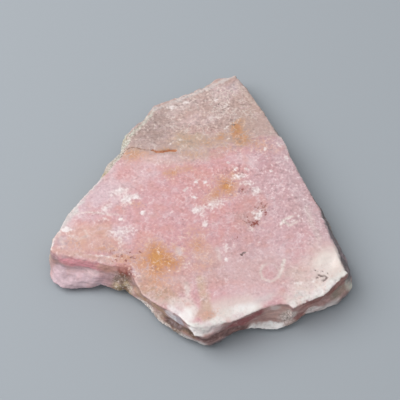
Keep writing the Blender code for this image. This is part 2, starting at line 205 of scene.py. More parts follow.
# The stone. Places are x, y or x, y, z on the slab; marks give half their length and width, and a turn.
stone = {
    "weld": 0.001,  # points nearer than this are one
    "pitch": 0.28,  # between mesh points
    "smoothing": (0.5, 1),  # strength and rounds that soften the slab's facets
    "downward": -0.5,  # the upward part of a normal under which a point is on the underside
    "underside": 0.72,  # share of the mesh that stays once the hidden underside is thinned
    "undersideBias": 10,  # how firmly the thinning keeps to the underside
    "faceFall": ((-38.5, 1.0), (13.5, 0.914), (38.5, 0.642)),  # y, and the face's share of the full height
    "faceTilt": (0.25, 0.65),  # the upward part of a normal where the face starts and is full
    "faceDepth": (0.8, 1.3),  # below the upper face, where the face fades and is gone
    "crestBand": (0.35, 0.65),  # shares of face between which a point lies on the crest
    # The layers of the broken side: stretch in x, y and z, and their size, detail and roughness
    "layerStretch": (0.35, 0.35, 2.4),
    "layers": (1.1, 3, 0.6),
    # The places of marks wander, so that no mark has a ruled edge: size, height and offset of each swing
    "seed": 5,
    "drift": ((7.0, 2.4, 3.1), (2.2, 1.0, 8.4), (0.9, 0.5, 1.9)),
    "flutter": ((1.1, 0.45, 5.2), (0.6, 0.25, 7.7)),
    "sway": {  # shares of the drift and the flutter that each kind of mark follows
        "zones": (1.0, 0.0),
        "crisp": (0.0, 1.0),
        "margins": (0.5, 0.0),
        "rim": (0.3, 0.0),
        "edges": (0.0, 1.0),
        "rimGlow": (0.35, 1.0),
        "side": (0.3, 0.5),
        "sideStrips": (0.0, 0.4),
        "veils": (0.0, 0.5),
        "rust": (0.5, 0.0),
        "crack": (0.0, 0.3),
        "pits": (0.0, 0.4),
    },
    "fade": {  # where a soft mark starts to fade and where it is gone, in its half sizes
        "zone": (0.3, 1.3),
        "lump": (0.6, 1.15),
        "line": (0.2, 1.4),
        "level": (0.4, 1.2),
        "crust": (0.6, 1.1),
        "crest": (0.5, 1.2),
    },
    "markReach": 2.0,  # half sizes from a grainy mark's middle to where it is nothing
    # Soft zones of the upper face, the later over the earlier: colour, share, x, y, half sizes, turn
    "zones": [
        ("lilacPink", 0.95, 19.5, -2.0, 10, 17, 18),
        ("lilacPink", 0.8, 15, -14, 8, 7, 0),
        ("dullPink", 0.9, 11, -22, 15, 7, 0),
        ("palePink", 0.45, 16.5, -16.5, 5, 3.4, 0),
        ("lilac", 0.95, -23.5, -1.0, 8, 5.5, 45),
        ("palePink", 0.7, -19, 0.5, 6, 3.5, 45),
        ("palePink", 0.6, -14, 6.5, 9, 4.5, 35),
        ("peach", 0.95, -26, -13, 8.5, 5, -10),
        ("palePink", 0.6, -32, -9, 2.8, 4.5, 0),
        ("dustyPink", 0.7, -19.5, -18.5, 4.5, 2.2, -8),
        ("palePink", 0.5, -18.5, -11.5, 3.5, 3, 0),
        ("dustyPink", 0.6, -12, -22.5, 6, 5, -30),
        ("tanPink", 0.9, -12, -26, 4.5, 4.5, -30),
        ("warmGrey", 0.9, -8.5, -30, 4.5, 2.6, -35),
        ("warmPink", 0.8, -8, 9.8, 12, 3, 0),
        ("rosePink", 0.9, 1.5, 5, 9, 5, 0),
        ("rosePink", 0.6, -11, -13, 6, 5, 0),
        ("rosePink", 0.6, 5, -8.5, 7, 5, 20),
        ("dustyPink", 0.8, 11.5, -4.5, 4, 6, -20),
        ("tanPink", 0.5, 0, -18, 3.5, 5, 0),
        ("tanPink", 0.6, -4.6, -25.6, 4, 4, 0),
        ("dustyPink", 0.6, 2.5, -23, 4, 4, 0),
        ("cream", 0.95, 30.5, -20.5, 7, 8, 0),
        ("cream", 0.4, 25, -22.5, 6, 4.5, 20),
        ("ivory", 1.0, 31.6, -21.7, 4.8, 5.5, 0),
        ("cream", 0.5, 24.5, -26, 4.5, 2.4, 15),
        ("palePink", 0.5, -21, 5.0, 3.4, 2.0, 40),
        ("rosePink", 0.7, -17.5, 6.0, 3.0, 1.6, 20),
        ("rosePink", 0.5, -24.5, -4.5, 3.0, 1.5, 40),
        ("rosePink", 0.6, 7, -4, 3.0, 2.0, 0),
        ("salmon", 0.85, -13, -14, 3.2, 2.2, 0),
        ("dustyPink", 0.9, -20.6, -16.8, 3.6, 1.8, -8),
        ("salmon", 0.7, -19.3, -5.4, 2.2, 1.8, 0),
        ("salmon", 0.8, -1, -15, 2.6, 3, 0),
        ("salmon", 0.6, 0.5, 5, 5, 2.4, 0),
        ("rosePink", 0.7, -2, -3, 6, 3.4, 20),
        ("rosePink", 0.6, 12.6, -2.6, 3.4, 3.0, 0),
        ("lilacPink", 0.7, 18.5, -4.5, 3.4, 3.0, 0),
        ("dullPink", 0.5, 25, -4.6, 2.4, 4, 18),
        ("lilac", 0.6, -18.5, -12, 3.2, 2.4, 0),
        ("tanPink", 0.95, -9, -28, 3.4, 2.0, -30),
        ("apricot", 0.6, -22, -12.5, 3, 2.6, 0),
        ("cream", 0.6, 22, -26, 3, 2.2, 0),
        ("palePink", 0.45, 17, -27, 2.6, 1.8, 0),
        ("mauveRose", 0.55, 16.4, 10.4, 3.6, 2.6, 0),
        ("mauvePink", 0.9, 24.4, -5, 3, 5, 18),
        ("mauvePink", 0.6, 10.6, -15.4, 4.6, 4.2, 0),
        ("palePink", 0.9, 11.4, 9.6, 3.2, 2.4, 0),
        ("tanPink", 1.0, -10.6, -27.4, 4.2, 2.4, -35),
        ("ivory", 0.8, 29.6, -23.6, 3.0, 2.2, 20),
        ("tanBrown", 0.75, -9.8, -27.6, 4.4, 2.8, -35),
        ("pink", 0.9, -1, -10, 3, 2, 0),
        ("palePink", 0.55, 11, -28, 9, 2.4, 8),
        ("cream", 0.4, 17.5, -29.6, 3, 1.6, 0),
        ("greyLilac", 0.8, -32.6, -15.2, 3.6, 2.2, -10),
        ("palePink", 0.5, -13, -6.6, 2.2, 1.6, 0),
        ("pink", 0.6, 16.2, -22.9, 2.0, 2.0, 0),
        ("warmGrey", 0.5, 22.0, -22.2, 2.8, 2.8, 0),
    ],
    "margins": [  # broad strips inside the edges: colour, share, half width, path
        ("greyLilac", 0.6, 3.4, ((20, 13), (24.5, 3), (28.5, -6), (30, -12))),
        ("greyLilac", 0.5, 2.0, ((-31, -3), (-26, 2.5), (-22, 8))),
    ],
    "edges": [  # narrow strips on the crest itself
        ("tanPink", 0.7, 1.0, ((-35.0, -16.4), (-30, -17.7), (-24, -18.9), (-20.4, -20.0))),
        ("edgeWhite", 0.9, 1.2, ((-36, -15.6), (-35, -12.6), (-32.6, -9), (-30, -5))),
        ("edgeWhite", 0.8, 0.9, ((-30, -5), (-27, 0.6), (-25, 3), (-23.2, 6), (-21.8, 8.6), (-20.4, 10.6))),
        ("greenWhite", 0.95, 1.0, ((-20.4, 10.6), (-19.7, 12.8), (-18.7, 15), (-17.2, 17.8))),
        ("greenWhite", 0.8, 0.6, ((-17.2, 17.8), (-14, 22), (-11.5, 26.5))),
        ("edgeWhite", 0.7, 0.7, ((-11.5, 26.5), (-6, 29.5), (0, 33), (5, 36), (8.8, 38.6))),
        ("warmGrey", 0.6, 0.7, ((9.4, 35.5), (13, 30), (17, 24.5), (20.5, 18.5))),
        ("edgeWhite", 0.7, 1.1, ((20.6, 17), (22.6, 12), (24.6, 7.5))),
        ("redBrown", 1.0, 1.5, ((-18.4, -22.0), (-17.0, -22.4), (-15.8, -23.6))),
        ("edgeWhite", 0.7, 0.9, ((24.6, 7.5), (28, 0), (30.4, -8), (32.2, -14), (34.4, -21))),
    ],
    # The mauve cap behind the crack, with the tan and dusty patches along its edge
    "capSway": 1.3,  # share of the drift in its edge
    "capSoft": 1.8,  # half width of its edge
    "capLine": (
        (-25, 12.0), (-19.7, 12.6), (-12, 11.6), (-6, 11.0), (-2, 10.2), (3, 10.8), (7, 13.4), (12, 14.4),
        (20.5, 16.8), (26, 18),
    ),
    "capZones": [
        ("greyMauve", 0.95, -13.0, 19.6, 7, 5.0, 35),
        ("palePink", 0.45, 0, 22.6, 5, 2.2, 10),
        ("paleMauve", 0.8, -5.5, 26.8, 5, 2.2, 22),
        ("paleMauve", 0.8, 5, 32, 5, 3.5, 20),
        ("mauvePink", 0.5, 6.6, 33.8, 3.4, 2.4, 20),
        ("coolGrey", 0.6, 9.0, 35.0, 2.6, 2.0, 20),
        ("greyMauve", 0.25, 9.0, 35.0, 2.4, 1.8, 20),
        ("greyMauve", 0.5, -9.5, 26, 4, 2.0, 30),
        ("dustyMauve", 0.9, 12, 24, 4.5, 7.5, 0),
        ("olive", 0.85, -2.6, 15.6, 5.0, 3.2, 5),
        ("tanPink", 0.8, 4.5, 16.3, 4.6, 2.4, 10),
        ("warmPink", 0.85, -1.0, 11.4, 5.0, 2.0, 0),
        ("dustyPink", 0.8, 1, 18.6, 4, 2, 0),
        ("dustyMauve", 0.4, 1.2, 19.4, 3, 1.8, 0),
        ("dustyPink", 0.9, 15.5, 15.6, 5, 3, -20),
        ("rosePink", 0.8, 5.4, 11.8, 3.4, 2.0, 0),
        ("salmon", 0.9, 6.4, 12.2, 3.0, 1.8, 0),
        ("dustyPink", 0.75, 6.2, 12.2, 2.2, 1.5, 0),
        ("palePink", 0.45, -9, 10.6, 3.6, 1.8, 0),
        ("mauveRose", 0.75, 17.8, 15.6, 4.0, 2.2, -10),
        ("greyLilac", 0.6, 20.6, 15.4, 1.8, 2.4, 0),
        ("tanPink", 0.7, -17, 11.6, 5, 1.8, 0),
    ],
    # The pale, glassy rim along the front; its whites are partly the stone's pale rim and partly a painted
    # highlight
    "rim": [
        ("cream", 0.8, 3.2, ((3.6, -33.6), (7, -32.6), (11, -31.4))),
        ("rimWhite", 0.75, 2.3, ((3.8, -36), (6, -34.6), (10, -33.8), (12.8, -32.6))),
        ("cream", 0.85, 3.2, ((21.5, -30.5), (26, -28), (30, -25), (33.5, -22))),
        ("rimWhite", 0.95, 1.9, ((21.6, -31.8), (26.5, -29.4), (30.5, -26.2), (34.4, -22.8))),
        ("cream", 0.8, 2.0, ((-5.5, -31.5), (-3, -31), (-1.6, -33.5))),
        ("white", 0.75, 0.9, ((-7.0, -32.6), (-5.8, -33.4), (-4, -35))),
        ("tanPeach", 0.95, 1.3, ((0.6, -25), (1.2, -31), (1.7, -35.4))),
        ("tanPink", 0.95, 1.1, ((0.2, -34.0), (2.6, -34.8))),
        ("rimWhite", 1.0, 1.4, ((-3.0, -36.6), (0.7, -37.6), (5.0, -36.4))),
    ],
    # White and pale spots: on the front rim partly the stone's pale rim and partly a painted highlight, on
    # the face pale marks
    "rimGlow": [
        ("snow", 0.85, -2.9, -34.2, 2.0, 2.6, 20),
        ("snow", 0.45, 9.4, -33.0, 4.6, 1.4, 17),
        ("milk", 0.5, -1.2, -33.2, 1.0, 1.6, 0),
        ("white", 0.45, 10.4, -31.8, 2.8, 1.3, 17),
        ("warmGrey", 0.25, 6.0, -33.8, 2.0, 1.2, 15),
        ("edgeWhite", 0.7, 22.6, -28.6, 1.8, 1.2, 20),
        ("edgeWhite", 0.6, 14.6, -30.0, 2.6, 1.4, 10),
        ("snow", 0.5, 28.4, -27.0, 4.4, 1.4, 34),
        ("milk", 0.5, 3.8, -34.4, 1.0, 1.6, 0),
        ("milk", 0.5, -2.9, -27.9, 0.8, 1.6, 0),
        ("milk", 0.4, -5.0, -17.0, 1.0, 1.0, 0),
        ("milk", 0.35, -22.8, -4.6, 1.6, 1.0, 60),
        ("milk", 0.4, -28.9, -6.6, 1.6, 0.8, 0),
        ("lilac", 0.8, -15.2, -22.6, 0.9, 2.2, 20),
        ("milk", 0.6, -33.6, -12.5, 0.7, 2.0, -20),
    ],
    # How gritty the face is: level, x, y, half sizes, turn
    "gritBase": 0.75,
    "grit": [
        (1.3, 0, 24, 18, 10, 15),
        (1.1, 22, -1, 8, 17, 20),
        (0.6, -26, -12.5, 8, 5, -10),
        (0.75, -18, -3, 7, 8, 30),
        (0.6, 10, -20, 15, 8, 0),
        (0.2, 31, -20, 6, 7, 0),
        (0.2, 8, -31.5, 12, 3, 15),
        (0.12, -3.4, -34.6, 3, 3, 0),
        (0.95, -10.3, -20.6, 4.4, 4.4, 0),
        (1.3, 9, 3, 5, 5, 0),
        (1.7, 4, 31, 9, 4.5, 22),
    ],
    # How strong the salmon mottles are: level, x, y, half sizes, turn
    "warmthBase": 1.0,
    "warmth": [
        (0.1, 22, -2, 9, 18, 18),
        (0.3, -22, 0, 9, 6, 45),
        (0.1, 31, -20, 7, 8, 0),
        (0.4, 14, -22, 14, 7, 0),
        (0.2, 6, -33, 14, 4, 10),
    ],
    # How much the crest is chipped: level, x, y, half sizes, turn
    "chipBase": 0.2,
    "chips": [
        (1.0, 29, -27, 9, 4.5, 35),
        (0.7, -19, 13, 6, 9, 50),
        (0.6, 0, -37, 6, 3, 0),
        (0.45, 27, -4, 4, 16, 15),
        (0.5, 0, 33, 12, 4, 25),
    ],
    # Marks with grainy edges: share, x, y, half length, half width, turn
    "rust": [
        (1.3, -10.4, -18.8, 3.0, 3.2, 0),
        (1.1, -7.4, -19.6, 3.2, 2.4, -10),
        (1.0, -9.9, -21.8, 3.2, 2.8, -20),
        (0.8, -13.6, -19.6, 2.8, 3.6, 0),
        (0.65, -9.6, -25.4, 3.4, 2.2, -25),
        (0.3, -14.0, -24.0, 2.4, 2.0, -30),
        (0.5, -5.8, -16.6, 3.0, 2.0, 0),
        (1.05, 9.4, 19.6, 1.5, 3.0, -15),
        (0.85, 10.4, 16.8, 2.2, 2.4, 0),
        (0.66, 5.4, 16.6, 2.0, 1.3, 20),
        (0.5, 1.4, 15.0, 2.2, 1.6, 0),
        (0.45, -3.4, 15.4, 3.0, 2.4, 0),
        (0.45, -2.0, 11.6, 3.4, 2.0, 0),
        (0.4, 7.0, 13.4, 3.4, 1.6, 0),
        (0.55, 14.0, 14.6, 3.6, 1.8, -10),
        (1.05, 6.4, 1.8, 2.2, 2.4, 30),
        (0.8, 3.6, 0.0, 3.0, 1.8, 30),
        (0.6, 8.4, 4.6, 1.4, 1.4, 0),
        (0.78, -6.6, 5.8, 2.4, 1.2, 15),
        (0.55, -3.2, 6.8, 2.2, 1.2, 15),
        (0.66, -17.0, 11.9, 3.0, 1.9, -5),
        (0.45, -13.6, 11.6, 2.6, 1.2, -5),
        (0.68, -0.6, -15.6, 1.8, 2.8, 0),
        (0.4, 0.0, -20.5, 2.4, 2.6, 0),
        (0.45, -1.0, -12.0, 3.0, 2.0, 0),
        (0.6, -15.4, -3.8, 1.6, 1.0, 0),
        (0.55, 2.4, -34.6, 1.8, 0.9, 10),
        (0.7, -23.4, -16.8, 1.8, 0.9, -8),
        (0.75, -18.0, -19.4, 3.4, 1.6, -8),
        (0.5, -29, -14.6, 3.0, 1.6, -8),
        (0.55, -8.4, 13.2, 2.4, 0.7, 0),
        (0.5, -20.8, -16.6, 2.6, 1.4, -8),
        (0.36, 12.4, -8.8, 2.2, 1.2, -15),
        (0.35, 14.8, -4.6, 1.4, 1.8, -30),
    ],
    "chalk": [
        (1.5, -31.6, -10.7, 0.75, 0.75, 0),
        (1.35, -18.9, -7.6, 0.5, 0.5, 0),
        (1.2, -13.6, -6.0, 0.45, 0.45, 0),
        (1.05, -17.6, -2.0, 1.3, 1.0, 40),
        (1.1, -15.6, -1.4, 0.9, 0.6, 10),
        (0.8, -19.4, 0.4, 2.0, 1.0, 20),
        (0.7, -22.6, -4.4, 1.3, 0.9, 60),
        (0.55, -22.9, -8.1, 1.4, 0.7, 20),
        (0.6, -18.3, -11.4, 3.0, 1.2, 5),
        (0.6, -18.8, -13.6, 1.1, 1.8, 0),
        (1.25, -0.8, 3.2, 0.45, 0.4, 0),
        (1.25, 1.1, 3.2, 0.45, 0.4, 0),
        (1.0, -3.6, 1.0, 0.5, 0.45, 0),
        (1.0, -1.4, -1.5, 0.55, 0.5, 0),
        (0.95, 1.3, -9.2, 0.7, 1.1, -20),
        (0.5, 6.2, -15.8, 1.1, 1.3, 0),
        (1.05, 6.0, -19.3, 0.4, 0.42, 0),
        (0.42, -3.0, -20.6, 1.8, 1.7, 20),
        (0.75, 22.6, -25.8, 0.7, 0.6, 0),
        (0.6, 26.0, -25.0, 0.6, 0.6, 0),
        (1.1, 6.9, 9.0, 0.45, 0.45, 0),
        (1.05, 11.5, 7.1, 0.42, 0.4, 0),
        (1.0, 8.6, 7.1, 0.4, 0.4, 0),
        (1.05, 17.3, 6.3, 0.42, 0.4, 0),
        (1.05, 16.1, 13.2, 0.42, 0.4, 0),
        (0.65, 8.9, 12.4, 0.6, 0.4, 0),
        (0.6, 9.8, 11.9, 0.5, 0.4, 0),
        (0.7, 21.2, 10.4, 0.6, 0.8, 0),
        (0.6, 19.6, 14.4, 0.7, 0.6, 0),
        (0.8, -7.2, 27.4, 1.8, 0.6, 20),
        (0.9, -3.8, 29.0, 0.8, 0.6, 10),
        (0.85, 4.0, 29.9, 0.7, 0.6, -10),
        (0.55, 6.6, 27.6, 1.5, 1.2, 0),
        (0.45, 3.0, 23.6, 2.4, 0.8, 10),
        (0.5, 7.0, 16.7, 0.7, 0.6, 0),
        (0.5, -3.6, 10.6, 1.2, 0.5, 0),
        (0.6, -4.9, 16.2, 0.8, 0.6, 0),
        (0.85, 9.4, 4.9, 1.6, 0.7, 15),
        (0.62, 11.2, 2.8, 1.8, 1.0, -10),
        (0.75, 13.4, 0.6, 1.3, 1.0, 0),
        (1.1, 13.5, -7.2, 0.55, 0.6, 0),
        (1.1, 13.9, -6.3, 0.7, 0.5, 30),
        (1.0, 14.6, -5.4, 0.65, 0.45, 45),
        (0.8, 12.9, -6.0, 0.4, 0.5, 0),
        (0.6, 12.0, -10.5, 0.5, 0.9, 20),
        (1.0, -35.0, -15.3, 0.5, 1.3, -15),
        (0.6, -22, -18.5, 4.5, 0.3, -9),
        (0.55, -15.4, -22.6, 0.6, 1.6, 20),
        (0.6, 19.3, -20.4, 0.4, 1.4, -15),
    ],
    "chalkTracks": [  # share, half width, path
        (0.72, 1.1, ((-1.0, -5.2), (0.2, -4.9))),
        (0.62, 0.45, ((0.8, -4.9), (1.8, -3.9))),
        (0.72, 1.2, ((2.6, -3.7), (4.6, -2.6))),
        (0.5, 0.4, ((0.2, -5.6), (0.6, -7.0))),
        (0.62, 0.3, ((18.9, -9.6), (20.3, -7.9), (21.6, -7.4))),
        (0.58, 0.3, ((19.6, -8.0), (21.0, -9.8))),
        (0.58, 0.3, ((21.6, -8.6), (23.6, -7.2))),
        (0.42, 0.3, ((-30.0, -6.1), (-24.5, -6.0), (-21.5, -6.6))),
        (0.3, 0.35, ((-31.4, -12.4), (-29.2, -13.6), (-27.0, -12.8))),
        (0.62, 0.26, ((6.2, 19.8), (7.6, 21.8))),
        (0.5, 0.3, ((-7.5, 14.6), (-6.6, 15.8))),
    ],
    "ring": {
        "x": 16.1,
        "y": -22.9,
        "radius": 2.2,
        "stretch": 1.1,
        "width": 0.34,
        "share": 0.68,
        "gap": 0.8,  # how much of the ring goes at its upper right, and where it starts and is full
        "gapFrom": (1.2, 2.2),
    },
    # Soft pale lines: share, half width, path
    "veils": [
        (0.5, 0.3, ((-30.2, -6.0), (-27.0, -5.7), (-24.0, -6.1), (-19.4, -6.4))),
        (0.38, 0.4, ((-30.6, -12.6), (-28.6, -13.8), (-26.4, -12.6), (-27.2, -11.0))),
        (0.85, 0.5, ((19.6, -19.4), (19.0, -21.8), (18.1, -24.2))),
        (0.5, 0.8, ((-3.0, -26.2), (-2.8, -29.0))),
        (0.5, 0.9, ((-5.2, -16.6), (-4.8, -17.4))),
        (0.85, 0.35, ((19.2, -9.4), (20.4, -7.6), (22.0, -7.0))),
        (0.75, 0.35, ((19.6, -8.0), (21.2, -9.6), (23.0, -8.6))),
        (0.4, 0.5, ((20.6, -27.6), (21.4, -28.6))),
        (0.4, 0.6, ((4.0, -16.2), (4.6, -19.2))),
        (0.35, 0.8, ((25.4, -4.6), (26.4, -9.4), (28.0, -13.0))),
        (0.4, 0.5, ((-33.4, -12.2), (-32.2, -14.8))),
    ],
    "specks": [
        (1.0, 4.7, 28.2, 0.36, 0.36, 0),
        (0.9, 8.2, 21.6, 0.7, 0.4, 0),
        (0.55, 12.4, 21.6, 0.6, 0.35, 0),
        (0.5, 6.2, 28.6, 0.5, 0.4, 0),
        (0.7, -4.1, -8.1, 0.35, 0.3, 0),
        (0.92, 9.6, -18.1, 0.4, 0.38, 0),
        (0.85, 10.3, -17.7, 0.38, 0.34, 0),
        (0.7, 2.8, -28.5, 0.3, 0.3, 0),
        (0.5, -20.1, -18.4, 0.6, 0.5, 0),
        (0.55, -18.2, -18.2, 0.9, 0.45, 0),
        (0.5, -16.4, -18.8, 0.6, 0.5, 0),
        (0.55, -14.7, 14.7, 0.9, 0.35, 0),
    ],
    "redSpecks": [
        (1.2, 12.9, -8.8, 0.7, 0.4, -20),
        (1.1, 12.0, -9.3, 0.8, 0.4, -20),
        (0.9, 11.4, -8.4, 0.9, 0.35, -10),
        (0.8, 13.6, -8.3, 0.6, 0.3, 20),
        (1.0, 15.6, -5.8, 0.35, 0.7, -20),
        (0.8, 15.2, -4.2, 0.35, 0.9, -30),
        (0.75, 13.6, -4.3, 0.5, 0.3, 0),
        (0.7, 14.6, -3.2, 0.4, 0.6, 0),
        (0.5, 11.2, -6.6, 0.5, 0.9, 20),
        (0.36, 5.4, -12.9, 0.8, 0.6, 0),
        (0.4, 8.2, -13.0, 1.0, 0.6, 10),
        (0.5, 3.2, -9.0, 0.5, 0.4, 0),
        (0.5, 10.2, 1.0, 0.7, 1.0, 20),
        (0.45, 12.2, 0.4, 0.8, 0.6, 0),
        (0.8, -20.6, -17.4, 0.5, 0.4, 0),
        (0.9, -18.6, -18.3, 0.6, 0.4, 0),
        (0.8, -17.2, -19.6, 0.5, 0.35, 0),
        (0.7, -16.6, -17.4, 0.5, 0.4, 0),
        (0.7, -15.6, -18.8, 0.5, 0.4, 0),
        (0.6, -19.6, -19.4, 0.4, 0.3, 0),
        (0.5, -14.0, -17.6, 0.5, 0.4, 0),
    ],
    "pits": (  # half width, path
        (0.28, ((27.4, -23.6), (28.0, -23.8), (28.5, -23.7))),
        (0.24, ((28.9, -23.8), (29.4, -24.2), (29.0, -24.6), (28.4, -25.1))),
        (0.2, ((26.8, -24.3), (27.2, -24.3))),
        (0.1, ((26.5, -22.1), (27.3, -22.5))),
        (0.1, ((28.0, -22.3), (28.6, -22.5))),
        (0.1, ((29.5, -23.0), (29.8, -23.3))),
    ),
    "crack": (
        (-19.5, 11.9), (-18.5, 13.2), (-17.2, 13.7), (-15.8, 13.9), (-14.5, 13.3), (-13.0, 12.9),
        (-11.6, 12.9), (-10.4, 12.3), (-9.3, 12.3), (-8.6, 12.6), (-7.4, 12.8), (-6.0, 12.6),
    ),
    "crackWidth": 0.23,
    "crackOpen": -11.8,  # x right of which the crack gapes, and is orange
    "crackGape": 0.4,  # how much wider it is there
    "crackShut": 0.72,  # its strength elsewhere
    # The broken side: colour, share, x, y, z, radius, half height
    "side": [
        ("paleCrust", 0.9, -20.6, 9.4, 5.6, 3.4, 3.0),
        ("greenWhite", 0.9, -19.0, 13.6, 5.6, 3.0, 3.0),
        ("sideLilac", 1.0, -31, -21.5, 2.6, 6.5, 2.8),
        ("sideLilac", 1.0, -26, -21.5, 2.6, 5.0, 2.4),
        ("mauveRose", 0.65, -22.0, -22.0, 3.8, 2.6, 2.0),
        ("mauveRose", 0.7, -33.4, -18.0, 6.8, 3.0, 1.6),
        ("rose", 1.0, -29.2, -19.2, 6.4, 4.4, 1.8),
        ("rose", 0.85, -25.2, -19.9, 6.4, 3.2, 1.7),
        ("brownRose", 0.9, -21.8, -20.8, 6.6, 2.8, 1.4),
        ("rustDark", 1.0, -17.3, -22.4, 6.7, 2.2, 1.7),
        ("crust", 1.0, -17.6, -23.7, 3.0, 3.2, 2.4),
        ("crustDark", 0.6, -17.8, -22.8, 5.3, 1.4, 0.7),
        ("crustDark", 0.9, -17.3, -24.2, 2.8, 1.3, 0.8),
        ("crustDark", 0.9, -19.2, -23.0, 4.3, 1.5, 1.0),
        ("redBrown", 0.9, -16.9, -22.6, 7.3, 1.5, 1.1),
        ("crustDark", 0.6, -16.3, -23.6, 6.2, 1.2, 0.8),
        ("cream", 0.65, -15.6, -24.8, 3.6, 1.6, 1.1),
        ("tanBrown", 1.0, -13.5, -27.4, 5.4, 3.4, 2.4),
        ("tanBrown", 1.0, -9.6, -31, 6.0, 2.8, 1.8),
        # Pale crust painted whiter still: painted light on a side in shade
        ("ivory", 1.0, -12.8, -28.7, 2.5, 3.6, 1.2),
        ("paleCrust", 0.9, -9.4, -31.8, 2.5, 2.2, 1.2),
        ("ivory", 0.9, -7.8, -33.4, 1.9, 3.0, 1.0),
        ("oliveGrey", 0.9, -4.8, -35.5, 2.3, 2.4, 1.1),
        ("edgeWhite", 1.0, -3.4, -36.8, 2.1, 1.6, 0.9),
        ("facetGrey", 1.0, -7.0, -33.1, 6.9, 1.5, 1.6),
        ("coolGrey", 1.0, -4.9, -34.7, 6.6, 1.7, 1.5),
        ("white", 0.9, -6.1, -33.9, 6.4, 1.1, 1.1),
        # The white facet at the tip, painted whiter still as painted light
        ("snow", 0.9, -0.8, -37.8, 7.3, 2.8, 1.7),
        ("edgeWhite", 0.9, 2.0, -37.9, 7.5, 1.8, 1.2),
        ("facetGrey", 0.5, 4.0, -37.2, 7.2, 1.6, 1.2),
        ("maroonDark", 0.9, 3.4, -38.0, 4.2, 3.8, 1.3),
        ("maroonDark", 1.0, 8.0, -35.2, 2.8, 4.0, 1.5),
        ("maroon", 1.0, 9.5, -34.4, 5.4, 4.4, 1.8),
        ("maroon", 1.0, 13.2, -33, 6.6, 1.8, 1.2),
        ("scoopPink", 1.0, 17.2, -31.6, 5.4, 3.2, 2.6),
        # The pale lip, painted whiter still as painted light where it faces away from the light
        ("snow", 1.0, 12.6, -34.2, 2.0, 2.8, 1.2),
        ("snow", 1.0, 16.6, -33.8, 1.7, 3.4, 1.1),
        # Painted highlight on the fold at the top of the scoop
        ("cream", 0.8, 17.0, -31.8, 6.7, 1.2, 1.0),
        ("cream", 1.0, 20.2, -32.3, 3.8, 2.4, 2.6),
        ("redGrey", 1.0, 25.5, -29.8, 6.2, 4.6, 1.8),
        ("redGrey", 1.0, 31.5, -25.6, 6.2, 3.8, 1.8),
        ("scoopPink", 0.8, 22.7, -31.3, 6.3, 1.5, 1.4),
        ("scoopPink", 0.45, 32.6, -25, 6.3, 2.0, 1.3),
        ("redGrey", 0.9, 22.7, -31.3, 2.5, 2.0, 1.2),
        ("oliveGrey", 0.9, 32.6, -25.6, 3.6, 3.4, 1.4),
        # Painted light on a shaded spot at the foot
        ("snow", 0.9, 26.4, -29.6, 2.3, 2.4, 1.0),
        ("greenWhite", 1.0, 35.2, -23.2, 3.6, 1.8, 2.6),
    ],
    "sideStrips": [  # colour, share, half width, path in x, y, z
        (
            "tanPink", 0.6, 0.5,
            ((-35.6, -16.6, 7.8), (-30, -18.0, 7.8), (-24, -19.3, 7.9), (-20.4, -20.4, 7.9)),
        ),
        ("edgeWhite", 0.9, 1.3, ((-4.2, -36.6, 1.8), (-1.6, -38.0, 1.9), (0.4, -38.8, 1.9))),
        # Painted shadow along the foot right of the tip
        ("shadeGrey", 0.9, 1.2, ((2.6, -38.6, 1.3), (6, -37, 1.2), (8.4, -35.8, 1.2))),
        ("edgeWhite", 0.85, 1.2, ((25.4, -30.2, 1.6), (28.6, -28.6, 1.6), (32, -26.8, 1.6))),
        # Painted shade over the right side wall, which faces away from the light
        ("shadeGrey", 1.0, 2.8, ((17, 20, 4), (24, 6, 4.5), (28.9, -3, 5), (31.5, -11, 5))),
        ("shadeGrey", 1.0, 2.8, ((31.5, -11, 5), (33.6, -18, 5), (34.8, -21, 5.2))),
        ("palePink", 0.9, 1.0, ((-31, -19.8, 4.4), (-26.8, -20.0, 4.4), (-24.3, -21.0, 4.8))),
        # Painted shade in the groove along the lower left side
        ("crustDark", 0.95, 0.9, ((-8.4, -32.0, 3.2), (-6.5, -33.5, 3.2), (-4.7, -35.0, 3.6))),
        ("crustDark", 0.95, 0.9, ((-4.7, -34.9, 3.6), (-2.6, -36.2, 4.2), (-1.4, -37.5, 4.2))),
        # Painted shadow at the foot of the right corner
        ("shadeGrey", 0.95, 0.9, ((31.8, -26.8, 1.0), (34.6, -25.0, 1.2))),
        # More painted shade in the same groove
        ("darkBrown", 1.0, 0.75, ((-7.8, -32.5, 3.1), (-6.5, -33.6, 3.0), (-4.7, -35.0, 3.5))),
        ("darkBrown", 0.4, 0.5, ((-4.7, -34.9, 3.6), (-3.0, -35.8, 4.1), (-2.0, -36.9, 4.2))),
        ("maroonDark", 0.8, 0.7, ((-0.6, -38.0, 4.2), (1.4, -38.6, 4.2), (4.0, -37.6, 4.4))),
    ],
    # The sides that the camera doesn't see lie where x and y, times two factors, pass two values
    "backSides": ((0.3, 1.0, -8.0, 4.0), (-1.0, 0.9, 18.5, 22.5)),
    "backShare": 0.9,  # strength of the colours there
    "backRagged": 0.6,  # share of the flutter in the patches' edges
    "backPatches": (("crust", 0, -0.2, 0.5), ("greenWhite", 1, 0.0, 0.6)),  # colour, way of the drift, levels
    "backCrusty": 0.6,  # how grainy the crust is there
    "foot": (1.2, 2.4),  # z under which the side takes the underside's grey, and over which it has none
    "sideGrit": 0.35,  # how gritty the sides are
    # The strip of crust on the crest at the back left, and where the broken side is a grainy crust
    "crustWidth": 1.2,
    "crustCrest": ((-21.5, 9.0), (-20.4, 10.6), (-19.7, 12.8), (-18.7, 15), (-17.2, 17.8), (-15.6, 19.6)),
    "crusty": [  # level, x, y, z, radius, half height
        (1.0, -18, -23.3, 3.6, 3.4, 3.4),
        (0.8, -12, -29.5, 2.2, 4.5, 2.0),
        (0.8, -6, -34.6, 2.0, 4.5, 1.5),
        (1.0, 20.2, -32.3, 3.6, 2.4, 2.6),
